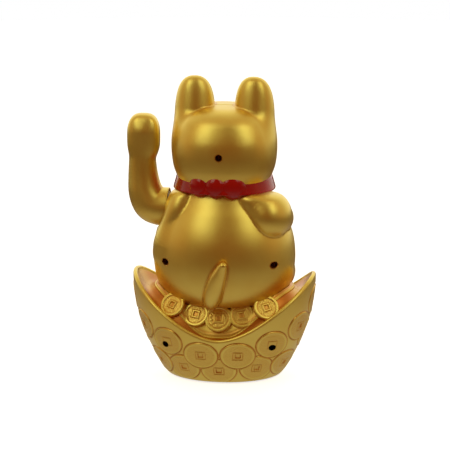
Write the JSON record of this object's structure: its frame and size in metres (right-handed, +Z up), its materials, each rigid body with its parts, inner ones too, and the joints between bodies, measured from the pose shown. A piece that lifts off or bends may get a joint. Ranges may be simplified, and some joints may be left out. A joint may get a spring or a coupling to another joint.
{
  "type": "beckoning cat figurine",
  "caption": "Seated gold cat on a boat-shaped ingot full of coins, with a battery-driven waving arm, red collar with bell, and a battery door underneath.",
  "frame": {"origin": "on the table, under the middle of the ingot; the ingot's flat underside is 1 mm above it on four pads", "axes": "+Z up; the cat faces -Y; its waving left arm is on +X"},
  "size_m": [0.1249, 0.0909, 0.2],
  "materials": {
    "gold": "satin metallic gold paint on moulded plastic",
    "red_gloss": "gloss red paint",
    "bell_gold": "polished",
    "white_plastic": "moulded",
    "black_plastic": "moulded, fine grain",
    "steel": "zinc plated",
    "magnet": "dull grey",
    "copper": "enamelled copper wire",
    "board_green": "solder mask",
    "cell_wrap": "plain printed wrap with no lettering",
    "rubber": "matt",
    "red_wire": "insulation"
  },
  "bodies": {
    "figurine": {"bell": "bell_gold", "collar": "red_gloss", "koban_coin": "gold", "body_rear_shell": "gold", "body_front_shell": "gold", "shell_screw_head": "steel", "shell_screw_left": "steel", "shell_screw_right": "steel", "ingot_screw_left": "steel", "ingot_screw_right": "steel", "pivot_bracket": "white_plastic", "bracket_screw_left": "steel", "bracket_screw_right": "steel", "ingot_rear_shell": "gold", "ingot_front_shell": "gold", "coin_mound": "gold", "cat_fixing_screw_rear": "steel", "cat_fixing_screw_front": "steel", "base_plate": "black_plastic", "base_screw_1": "steel", "base_screw_2": "steel", "base_screw_3": "steel", "base_screw_4": "steel", "foot_pad_1": "rubber", "foot_pad_2": "rubber", "foot_pad_3": "rubber", "foot_pad_4": "rubber", "battery_cell": "cell_wrap", "battery_plate_contact": "steel", "battery_spring_contact": "steel", "switch_housing": "steel", "circuit_board": "board_green", "coil_bobbin": "white_plastic", "coil_winding": "copper", "transistor": "black_plastic", "capacitor": "magnet", "board_screw_1": "steel", "board_screw_2": "steel", "wire_positive": "red_wire", "wire_negative": "black_plastic", "wire_switch": "red_wire"},
    "arm": {"waving_arm": "gold", "arm_root_plug": "white_plastic", "pivot_shaft": "steel", "pendulum_lever": "white_plastic", "drive_magnet": "magnet", "counterweight": "steel"},
    "door": {"battery_door": "black_plastic"},
    "switch": {"switch_slider": "black_plastic"}
  },
  "joints": [
    {"name": "arm_swing", "type": "hinge", "parent": "figurine", "child": "arm", "pos_m": [0, 0, 0.111], "axis": [1, 0, 0], "range_deg": [-20, 20]},
    {"name": "battery_door_hinge", "type": "hinge", "parent": "figurine", "child": "door", "pos_m": [-0.0262, 0, 0.0018], "axis": [0, 1, 0], "range_deg": [0, 80]},
    {"name": "switch_slide", "type": "slide", "parent": "figurine", "child": "switch", "axis": [1, 0, 0], "range_m": [0, 0.004]}
  ]
}
